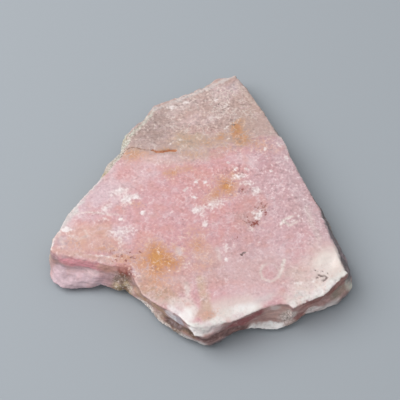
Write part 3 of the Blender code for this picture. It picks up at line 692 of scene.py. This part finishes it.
        (0.6, 25.2, -30.2, 3.2, 1.8, 1.6),
    ],
    # The finish. A ramp gives a value's start and end, and the strengths there, which are else 0 and 1.
    "finish": {
        # Noises: size, detail, roughness and distortion
        "hue": (4.0, 3, 0.6),
        "cloud": (2.0, 4, 0.62, 0.9),
        "grain": (1.15, 2, 0.6, 0.3),
        "fine": (0.62, 2, 0.5),
        "flaky": (1.3, 4, 0.7),
        "patchy": (2.6, 3, 0.6),
        "fineInColour": 0.6,  # share of the fine noise beside the grain
        "fineInBump": 0.4,
        # Cells: size, and for the web of fibres the size and reach of its bends
        "seamSize": 0.9,
        "webSize": 1.9,
        "webBendSize": 1.5,
        "webBend": 2.2,
        # Mottles
        "blotchy": (0.1, 0.7, 0.3, 1.0),
        "paler": (0.5, 0.68, 0, 0.36),
        "warmer": (0.5, 0.34, 0, 0.45),
        "cloudLight": (0.52, 0.7, 0, 0.4),
        "cloudDark": (0.44, 0.3, 0, 0.34),
        # Marks: how far the grain breaks up their edge, then their ramp
        "rustHalo": (1.9, 0.14, 0.64, 0, 0.85),
        "rust": (1.6, 0.42, 0.95, 0, 0.9),
        "rustHeart": (1.8, 0.72, 1.1, 0, 0.85),
        "chalkHalo": (1.5, 0.2, 0.62, 0, 0.55),
        "chalk": (2.0, 0.5, 1.0, 0, 0.88),
        "redHalo": (2.0, 0.2, 0.6, 0, 0.3),
        "speck": (1.6, 0.45, 0.65, 0, 0.85),
        "crack": (0.9, 0.36, 0.62, 0, 0.9),
        "pit": (0.8, 0.3, 0.8, 0, 0.7),
        # Red flecks, the crust, the grains, and the strengths on the face and on the cap
        "redScatter": 3.0,
        "red": (0.4, 0.8, 0, 0.95),
        "redReach": (0.02, 0.2),
        "seams": (0.11, 0.02, 0, 0.65),
        "crustGrains": (0.54, 0.68, 0, 0.6),
        "patches": (0.4, 0.64, 0.35, 1.3),
        "fibres": (0.06, 0.015),
        "fibreZones": (0.38, 0.56),
        "flakes": (0.6, 0.72),
        "darkGrains": (0.48, 0.35),
        "lightGrains": (0.53, 0.66, 0, 0.4),
        "fibreShare": (0.3, 0.6),
        "flakeShare": (0.45, 0.22),
        "darkShare": (0.4, 0.38),
        "darkGrain": (0.66, 0.63, 0.635),  # what a dark grain leaves of red, green and blue
        "layerContrast": 1.1,
        "grainContrast": 0.75,
        "roughness": (0.35, 0.65, 0.42, 0.62),
        "bump": 0.5,
        "bumpDepth": 0.25,
        "glow": 0.06,  # light that goes in and comes out again, and how far red, green and blue of it go
        "glowReach": (0.5, 0.42, 0.4),
    },
    # Inputs of the relief tree, which are sizes and heights in millimetres
    "relief": {
        "Face grain size": 1.2,
        "Face grain height": 0.09,
        "Break size": 1.6,
        "Break height": 0.45,
        "Layer height": 0.16,
        "Crust lump size": 0.75,
        "Crust lump height": 0.3,
        "Chip size": 1.5,
        "Chip depth": 0.55,
        "Crack depth": 0.4,
        "Pit depth": 0.4,
    },
    "carving": {  # where each kind of relief starts and is full
        "crest": (1.0, 0.1),  # from the crest, where the chips end and where they are deepest
        "bites": (0.48, 0.6),
        "faceGrain": (3, 0.6),  # detail, roughness and distortion of two noises
        "ridges": (4, 0.55, 0.6),
        "ridgeLift": 0.2,  # so that ridges and lumps stand as far out as they go in
        "domeLift": 0.4,
        "crack": (0.3, 0.8),
        "pit": (0.4, 0.9),
        "floor": (0.05, 0.8),  # z, as what rests on the floor stays flat
    },
}


def settle(piece):  # the modifiers' result becomes the piece's own plain mesh
    result = bpy.data.meshes.new_from_object(piece.evaluated_get(bpy.context.evaluated_depsgraph_get()))
    piece.modifiers.clear()
    piece.data = result
    return piece


def perPoint(source, name):
    flat = np.empty(len(source) * 3, np.float32)
    source.foreach_get(name, flat)
    return flat.reshape(-1, 3).astype(float)


def denseCopy(node, name):
    mesh = node.data.copy()
    work = bmesh.new()
    work.from_mesh(mesh)
    bmesh.ops.remove_doubles(work, verts=work.verts, dist=stone["weld"] * mm)
    work.to_mesh(mesh)
    work.free()
    piece = bpy.data.objects.new(name, mesh)
    bpy.context.scene.collection.objects.link(piece)
    even = piece.modifiers.new("even mesh", "REMESH")
    even.mode = "VOXEL"
    even.voxel_size = stone["pitch"] * mm
    soften = piece.modifiers.new("soften facets", "SMOOTH")
    soften.factor, soften.iterations = stone["smoothing"]
    return thinBelow(settle(piece))


def thinBelow(piece):  # fewer, larger faces where the stone faces the floor
    down = perPoint(piece.data.vertices, "normal")[:, 2] < stone["downward"]
    hidden = piece.vertex_groups.new(name="underside")
    hidden.add([int(index) for index in np.nonzero(down)[0]], 1.0, "REPLACE")
    thin = piece.modifiers.new("thin underside", "DECIMATE")
    thin.ratio = stone["underside"]
    thin.vertex_group = hidden.name
    thin.vertex_group_factor = stone["undersideBias"]
    settle(piece)
    piece.vertex_groups.clear()
    return piece


opal = denseCopy(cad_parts["opal_slab"], "opal_stone")
print("dense copy:", len(opal.data.polygons), "faces")

points = perPoint(opal.data.vertices, "co") / mm
normals = perPoint(opal.data.vertices, "normal")
fallY, fallShare = zip(*stone["faceFall"])
depth = np.interp(points[:, 1], fallY, fallShare) * cadHigh.z / mm - points[:, 2]  # below the upper face
topFace = smooth(normals[:, 2], *stone["faceTilt"]) * (1 - smooth(depth, *stone["faceDepth"]))


def edgeDistance():  # from each point to the crest, the line where the upper face ends
    least, most = stone["crestBand"]
    crest = points[(topFace > least) & (topFace < most)]
    tree = kdtree.KDTree(len(crest))
    for index, point in enumerate(crest):
        tree.insert(point, index)
    tree.balance()
    return np.array([tree.find(point)[2] for point in points])


noise.seed_set(stone["seed"])


def wander(layers):
    total = np.zeros_like(points)
    for size, height, offset in layers:
        shift = Vector((offset, offset * 1.7, offset * 0.3))  # unlike in x, y and z
        total += height * np.array([noise.noise_vector(Vector(point) / size + shift)[:] for point in points])
    return total


crestGap = edgeDistance()
drift = wander(stone["drift"])
flutter = wander(stone["flutter"])


def swayed(kind):  # where the points lie for one kind of mark
    soft, crisp = stone["sway"][kind]
    return points + soft * drift + crisp * flutter


softPlaces = swayed("zones")
crispPlaces = swayed("crisp")
print("fields measured")


# How far points lie from a mark's middle, in its half sizes
def spot(places, x, y, length, width, turn):
    cosine, sine = math.cos(math.radians(turn)), math.sin(math.radians(turn))
    dx, dy = places[:, 0] - x, places[:, 1] - y
    return np.hypot((dx * cosine + dy * sine) / length, (dy * cosine - dx * sine) / width)


def lump(places, x, y, z, radius, height):
    return np.linalg.norm((places - (x, y, z)) / (radius, radius, height), axis=1)


def track(places, path, width):
    best = np.full(len(places), np.inf)
    for start, end in zip(path, path[1:]):
        start, along = np.array(start), np.array(end) - np.array(start)
        flat = places[:, : len(start)]
        share = np.clip((flat - start) @ along / (along @ along), 0, 1)
        best = np.minimum(best, np.linalg.norm(flat - start - share[:, None] * along, axis=1))
    return best / width


def faded(gap, kind):  # 1 in a soft mark's middle, 0 outside it
    return 1 - smooth(gap, *stone["fade"][kind])


def canvasOf(name):
    return np.tile(np.array(palette[name], float), (len(points), 1))


def paint(canvas, name, share):
    share = share[:, None]
    canvas[:] = canvas * (1 - share) + np.array(palette[name], float) * share


def paintZones(canvas, places, marks):
    for name, share, *place in marks:
        paint(canvas, name, share * faded(spot(places, *place), "zone"))


def paintStrips(canvas, places, strips):
    for name, share, width, path in strips:
        paint(canvas, name, share * faded(track(places, path, width), "zone"))


lineX, lineY = zip(*stone["capLine"])
lineSway = stone["capSway"] * drift[:, 1] + flutter[:, 0]
pastLine = points[:, 1] + lineSway - np.interp(softPlaces[:, 0], lineX, lineY)
capShare = smooth(pastLine, -stone["capSoft"], stone["capSoft"])


def paintFace():
    canvas = canvasOf("pink")
    paintZones(canvas, softPlaces, stone["zones"])
    paint(canvas, "mauve", capShare)
    paintZones(canvas, softPlaces, stone["capZones"])
    for kind in ("margins", "rim", "edges"):
        paintStrips(canvas, swayed(kind), stone[kind])
    # pale spots, with painted highlights on the front rim
    paintZones(canvas, swayed("rimGlow"), stone["rimGlow"])
    return canvas


# The sides that the camera doesn't see are a pale crust
behind = np.zeros(len(points))
for alongX, alongY, start, end in stone["backSides"]:
    behind = np.maximum(behind, smooth(alongX * points[:, 0] + alongY * points[:, 1], start, end))


def paintSide():
    canvas = canvasOf("sidePink")
    backShare = stone["backShare"]
    paint(canvas, "underGrey", backShare * (1 - smooth(points[:, 2], *stone["foot"])))
    paint(canvas, "paleCrust", backShare * behind)
    for name, way, start, end in stone["backPatches"]:
        patchy = drift[:, way] + stone["backRagged"] * flutter[:, 1 - way]
        paint(canvas, name, backShare * behind * smooth(patchy, start, end))
    places = swayed("side")
    for name, share, *place in stone["side"]:
        paint(canvas, name, share * faded(lump(places, *place), "lump"))
    paintStrips(canvas, swayed("sideStrips"), stone["sideStrips"])
    return canvas


def markField(places, marks, tracks=()):  # 1 in a mark's middle, falling to 0 well outside it
    reach = stone["markReach"]
    field = np.zeros(len(places))
    for share, *place in marks:
        field = np.maximum(field, share * (1 - spot(places, *place) / reach))
    for share, width, path in tracks:
        field = np.maximum(field, share * (1 - track(places, path, width) / reach))
    return field


def veilField():
    ring = stone["ring"]
    places = swayed("veils")
    across, along = places[:, 0] - ring["x"], (places[:, 1] - ring["y"]) / ring["stretch"]
    offRing = np.abs(np.hypot(across, along) - ring["radius"]) / ring["width"]
    gap = ring["gap"] * smooth(along + 0.5 * across, *ring["gapFrom"])
    field = ring["share"] * faded(offRing, "line") * (1 - gap)
    for share, width, path in stone["veils"]:
        field = np.maximum(field, share * faded(track(places, path, width), "line"))
    return field


def levelField(base, marks):  # a level that changes softly from place to place
    field = np.full(len(points), base)
    for level, *place in marks:
        field += (level - field) * faded(spot(softPlaces, *place), "level")
    return field


def crustField():  # the crust shows on the crest as well, at the back left
    way, start, end = stone["backPatches"][0][1:]
    field = stone["backCrusty"] * behind * smooth(drift[:, way], start, end)
    for level, *place in stone["crusty"]:
        field = np.maximum(field, level * faded(lump(crispPlaces, *place), "crust"))
    strip = faded(track(crispPlaces, stone["crustCrest"], stone["crustWidth"]), "crest")
    return np.maximum(field * (1 - topFace), strip)


def crackFields():  # how open the crack is, and how deep in it a point lies
    opening = smooth(points[:, 0], stone["crackOpen"] - 1, stone["crackOpen"] + 1)
    gap = track(swayed("crack"), stone["crack"], stone["crackWidth"]) / (1 + stone["crackGape"] * opening)
    shut = stone["crackShut"]
    return opening, np.maximum(0, 1 - gap / stone["markReach"]) * (shut + (1 - shut) * opening)


def addField(name, values):
    field = opal.data.attributes.new(name, "FLOAT", "POINT")
    field.data.foreach_set("value", values.astype(np.float32))


def addColours(name, canvas):
    field = opal.data.attributes.new(name, "FLOAT_COLOR", "POINT")
    flat = np.ones((len(canvas), 4), np.float32)
    flat[:, :3] = linear(canvas)
    field.data.foreach_set("color", flat.ravel())


def writeFields():
    side = 1 - topFace
    addColours("paint", paintFace() * topFace[:, None] + paintSide() * side[:, None])
    addField("topFace", topFace)
    addField("crestGap", crestGap)
    addField("grit", levelField(stone["gritBase"], stone["grit"]) * topFace + stone["sideGrit"] * side)
    addField("warmth", levelField(stone["warmthBase"], stone["warmth"]))
    addField("chip", levelField(stone["chipBase"], stone["chips"]))
    addField("cap", capShare)
    addField("crusty", crustField())
    addField("rust", markField(swayed("rust"), stone["rust"]) * topFace)
    addField("chalk", markField(crispPlaces, stone["chalk"], stone["chalkTracks"]) * topFace)
    addField("veil", veilField() * topFace)
    addField("speck", markField(crispPlaces, stone["specks"]) * topFace)
    addField("redSpeck", markField(crispPlaces, stone["redSpecks"]) * topFace)
    opening, crack = crackFields()
    addField("crack", crack)
    addField("crackOpen", opening)
    addField("pit", markField(swayed("pits"), (), [(1.0, *mark) for mark in stone["pits"]]) * topFace)


writeFields()
print("markings painted")

finish = stone["finish"]


def tone(name):
    return (*linear(palette[name]), 1)


class Finish(Graph):  # the stone's material, one layer of colour over another
    def __init__(self, tree):
        super().__init__(tree)
        self.place = self.scaled(self.node("ShaderNodeTexCoord").outputs["Object"], 1 / mm)
        self.top = self.field("topFace")
        self.cap = self.field("cap")
        self.grit = self.field("grit")
        self.hue = self.noise(self.place, *finish["hue"])
        self.cloud = self.noise(self.place, *finish["cloud"])
        self.grain = self.noise(self.place, *finish["grain"])
        self.fine = self.noise(self.place, *finish["fine"])
        self.rough = self.blend(finish["fineInColour"])

    def field(self, name, output="Fac"):
        return self.node("ShaderNodeAttribute", attribute_name=name).outputs[output]

    def blend(self, share):  # of the grain and the fine noise
        return self.add(self.times(self.grain, 1 - share), self.times(self.fine, share))

    def level(self, value, name):  # what a field or a noise comes to on the named ramp
        return self.ramp(value, *finish[name])

    def byCap(self, name):  # a strength that changes from the face to the cap
        return self.ramp(self.cap, 0, 1, *finish[name])

    def toneByCap(self, face, cap):
        return self.mix(self.cap, tone(face), tone(cap))

    def mark(self, colour, field, name, tint):  # a mark whose edge is broken up by the grain
        grainy, *levels = finish[name]
        edge = self.add(field, self.times(self.centred(self.rough), grainy))
        return self.mix(self.ramp(edge, *levels), colour, tint)

    def mottled(self, colour):
        blotchy = self.level(self.grit, "blotchy")
        warmly = self.times(blotchy, self.field("warmth"))
        paler = self.toneByCap("lilac", "paleMauve")
        warmer = self.toneByCap("salmon", "dustyMauve")
        colour = self.mix(self.times(blotchy, self.level(self.hue, "paler")), colour, paler)
        colour = self.mix(self.times(warmly, self.level(self.hue, "warmer")), colour, warmer)
        lightClouds = self.times(blotchy, self.level(self.cloud, "cloudLight"))
        darkClouds = self.times(blotchy, self.level(self.cloud, "cloudDark"))
        colour = self.mix(lightClouds, colour, tone("palePink"))
        return self.mix(darkClouds, colour, tone("dustyPink"))

    def marked(self, colour):
        rust, chalk, red = self.field("rust"), self.field("chalk"), self.field("redSpeck")
        colour = self.mark(colour, rust, "rustHalo", self.toneByCap("apricot", "capRust"))
        colour = self.mark(colour, rust, "rust", tone("rust"))
        colour = self.mark(colour, rust, "rustHeart", self.toneByCap("ochre", "capOchre"))
        colour = self.mix(self.field("veil"), colour, tone("cream"))
        colour = self.mark(colour, chalk, "chalkHalo", tone("milk"))
        colour = self.mark(colour, chalk, "chalk", tone("chalk"))
        colour = self.mark(colour, red, "redHalo", tone("maroon"))
        scattered = self.add(red, self.times(self.centred(self.fine), finish["redScatter"]))
        redShare = self.times(self.level(scattered, "red"), self.level(red, "redReach"))
        colour = self.mix(redShare, colour, tone("redBrown"))
        colour = self.mark(colour, self.field("speck"), "speck", tone("darkBrown"))
        split = self.mix(self.field("crackOpen"), tone("crackBrown"), tone("orange"))
        colour = self.mark(colour, self.field("crack"), "crack", split)
        return self.mark(colour, self.field("pit"), "pit", tone("darkBrown"))

    def broken(self, colour):  # the crust's seams and grains, and the layers of the broken side
        crusty = self.field("crusty")
        seams = self.cells(self.place, finish["seamSize"], "DISTANCE_TO_EDGE").outputs["Distance"]
        colour = self.mix(self.times(crusty, self.level(seams, "seams")), colour, tone("crustDark"))
        colour = self.mix(self.times(crusty, self.level(self.fine, "crustGrains")), colour, tone("cream"))
        layers = self.noise(self.stretched(self.place, stone["layerStretch"]), *stone["layers"])
        side = self.maths("SUBTRACT", 1.0, self.top)
        shade = self.times(side, self.centred(layers), finish["layerContrast"])
        return self.scaled(colour, self.add(1.0, shade))

    def grained(self, colour):  # a web of pale fibres, flakes, and dark and light grains
        dark = self.stretched(colour, finish["darkGrain"])
        light = self.toneByCap("chalk", "capGrain")
        warped = self.warped(self.place, finish["webBendSize"], finish["webBend"])
        web = self.cells(warped, finish["webSize"], "DISTANCE_TO_EDGE").outputs["Distance"]
        fibres = self.times(self.level(web, "fibres"), self.level(self.hue, "fibreZones"))
        fibres = self.times(fibres, self.grit, self.top)
        colour = self.mix(self.times(fibres, self.byCap("fibreShare")), colour, light)
        flaky = self.noise(self.place, *finish["flaky"])
        flakes = self.times(self.grit, self.top, self.level(flaky, "flakes"))
        colour = self.mix(self.times(flakes, self.byCap("flakeShare")), colour, light)
        patches = self.level(self.noise(self.place, *finish["patchy"]), "patches")
        amount = self.times(self.grit, patches)
        darkShare = self.times(amount, self.byCap("darkShare"))
        colour = self.mix(self.times(darkShare, self.level(self.rough, "darkGrains")), colour, dark)
        colour = self.mix(self.times(amount, self.level(self.rough, "lightGrains")), colour, light)
        shade = self.times(self.grit, self.top, self.centred(self.rough), finish["grainContrast"])
        return self.scaled(colour, self.add(1.0, shade))


def finishMaterial():
    material = bpy.data.materials.new("pink opal")
    material.use_nodes = True
    graph = Finish(material.node_tree)
    shader = material.node_tree.nodes["Principled BSDF"]
    colour = graph.marked(graph.mottled(graph.field("paint", "Color")))
    graph.plug(graph.grained(graph.broken(colour)), shader.inputs["Base Color"])
    graph.plug(graph.level(graph.grain, "roughness"), shader.inputs["Roughness"])
    inputs = {"Height": graph.blend(finish["fineInBump"]), "Strength": finish["bump"]}
    inputs["Distance"] = finish["bumpDepth"] * mm
    graph.plug(graph.node("ShaderNodeBump", inputs).outputs[0], shader.inputs["Normal"])
    shader.inputs["Subsurface Weight"].default_value = finish["glow"]
    shader.inputs["Subsurface Radius"].default_value = finish["glowReach"]
    shader.inputs["Subsurface Scale"].default_value = mm
    return material


opalMaterial = finishMaterial()
relief = stone["relief"]
carving = stone["carving"]


def reliefTree():
    tree = bpy.data.node_groups.new("stone relief", "GeometryNodeTree")
    tree.interface.new_socket("Geometry", in_out="INPUT", socket_type="NodeSocketGeometry")
    for name in relief:
        tree.interface.new_socket(name, in_out="INPUT", socket_type="NodeSocketFloat")
    tree.interface.new_socket("Material", in_out="INPUT", socket_type="NodeSocketMaterial")
    tree.interface.new_socket("Geometry", in_out="OUTPUT", socket_type="NodeSocketGeometry")
    graph = Graph(tree)
    given = tree.nodes.new("NodeGroupInput").outputs
    place = graph.scaled(graph.node("GeometryNodeInputPosition").outputs[0], 1 / mm)

    def field(name):
        return graph.node("GeometryNodeInputNamedAttribute", {"Name": name}, data_type="FLOAT").outputs[0]

    def level(value, name):
        return graph.ramp(value, *carving[name])

    top = field("topFace")
    broken = graph.maths("SUBTRACT", 1.0, top)
    above = graph.node("ShaderNodeSeparateXYZ", {0: place}).outputs["Z"]
    grain = graph.centred(graph.noise(place, given["Face grain size"], *carving["faceGrain"]))
    faceShift = graph.times(top, grain, given["Face grain height"], 2.0)
    ridges = graph.noise(place, given["Break size"], *carving["ridges"])
    ridges = graph.times(graph.maths("ABSOLUTE", graph.centred(ridges)), -2.0)
    hackle = graph.times(broken, graph.add(ridges, carving["ridgeLift"]), given["Break height"])
    layers = graph.noise(graph.stretched(place, stone["layerStretch"]), *stone["layers"])
    bands = graph.times(broken, graph.centred(layers), given["Layer height"], 2.0)
    cells = graph.cells(place, given["Crust lump size"]).outputs["Distance"]
    domes = graph.add(graph.times(cells, -1.0), carving["domeLift"])
    lumps = graph.times(field("crusty"), domes, given["Crust lump height"])
    nearCrest = level(field("crestGap"), "crest")
    bites = level(graph.noise(place, given["Chip size"], 3), "bites")
    chips = graph.times(nearCrest, bites, field("chip"), given["Chip depth"], -1.0)
    cut = graph.times(level(field("crack"), "crack"), given["Crack depth"], -1.0)
    pitted = graph.times(level(field("pit"), "pit"), given["Pit depth"], -1.0)
    shift = graph.add(faceShift, hackle, bands, lumps, chips, cut, pitted)
    push = graph.times(shift, level(above, "floor"), mm)
    offset = graph.scaled(graph.node("GeometryNodeInputNormal").outputs[0], push)
    moved = graph.node("GeometryNodeSetPosition", {"Geometry": given["Geometry"], "Offset": offset})
    whole = graph.node("GeometryNodeRealizeInstances", {"Geometry": moved.outputs[0]})
    inputs = {"Geometry": whole.outputs[0], "Material": given["Material"]}
    dressed = graph.node("GeometryNodeSetMaterial", inputs)
    end = tree.nodes.new("NodeGroupOutput")
    tree.links.new(dressed.outputs[0], end.inputs[0])
    return tree


def carve(piece):
    tree = reliefTree()
    modifier = piece.modifiers.new("stone relief", "NODES")
    modifier.node_group = tree
    for item in tree.interface.items_tree:
        if item.in_out == "INPUT" and item.name in relief:
            modifier[item.identifier] = relief[item.name]
        if item.name == "Material":
            modifier[item.identifier] = opalMaterial
    return settle(piece)


opal.data.materials.clear()
carve(opal)
opal.data.shade_smooth()
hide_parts("opal_slab")
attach(opal, "root")
print("stone carved:", sum(len(face.vertices) - 2 for face in opal.data.polygons), "triangles")

# Camera, floor and light
view = {
    "aim": (-0.02, 3.09, 0.0),
    "distance": 359.0,
    "elevation": 55.0,
    "lens": 131.3,
    "film": 36.0,  # the width that goes with the lens
    "nearest": 10.0,
}


def placeCamera():
    data = bpy.data.cameras.new("camera")
    data.lens = view["lens"]
    data.sensor_width = view["film"]
    data.clip_start = view["nearest"] * mm
    camera = bpy.data.objects.new("camera", data)
    bpy.context.scene.collection.objects.link(camera)
    tilt = math.radians(view["elevation"])
    away = Vector((0, -math.cos(tilt), math.sin(tilt))) * view["distance"]
    camera.location = (Vector(view["aim"]) + away) * mm
    camera.rotation_euler = (math.pi / 2 - tilt, 0, 0)
    bpy.context.scene.camera = camera


ground = {"width": 3000.0, "colour": (0.40, 0.43, 0.46), "roughness": 0.9, "shine": 0.1}


def layFloor():
    half = ground["width"] / 2 * mm
    corners = [(-half, -half, 0), (half, -half, 0), (half, half, 0), (-half, half, 0)]
    mesh = bpy.data.meshes.new("floor")
    mesh.from_pydata(corners, [], [(0, 1, 2, 3)])
    material = bpy.data.materials.new("pale floor")
    material.use_nodes = True
    shader = material.node_tree.nodes["Principled BSDF"]
    shader.inputs["Base Color"].default_value = (*ground["colour"], 1)
    shader.inputs["Roughness"].default_value = ground["roughness"]
    shader.inputs["Specular IOR Level"].default_value = ground["shine"]
    mesh.materials.append(material)
    floor = bpy.data.objects.new("floor", mesh)
    bpy.context.scene.collection.objects.link(floor)


light = {
    "keyFrom": (-390.0, 80.0, 450.0),
    "keyWidth": 600.0,
    "keyPower": 2.7,
    "sky": (0.96, 0.98, 1.0),
    "skyStrength": 0.57,
}


def setLights():
    data = bpy.data.lights.new("key", "AREA")
    data.shape = "DISK"
    data.size = light["keyWidth"] * mm
    data.energy = light["keyPower"]
    key = bpy.data.objects.new("key", data)
    key.location = Vector(light["keyFrom"]) * mm
    key.rotation_euler = (-key.location).to_track_quat("-Z", "Y").to_euler()
    bpy.context.scene.collection.objects.link(key)
    world = bpy.data.worlds.new("soft room")
    world.use_nodes = True
    background = world.node_tree.nodes["Background"]
    background.inputs["Color"].default_value = (*light["sky"], 1)
    background.inputs["Strength"].default_value = light["skyStrength"]
    bpy.context.scene.world = world


placeCamera()
layFloor()
setLights()
bpy.context.scene.view_settings.view_transform = "Standard"
print("camera, floor and light set")
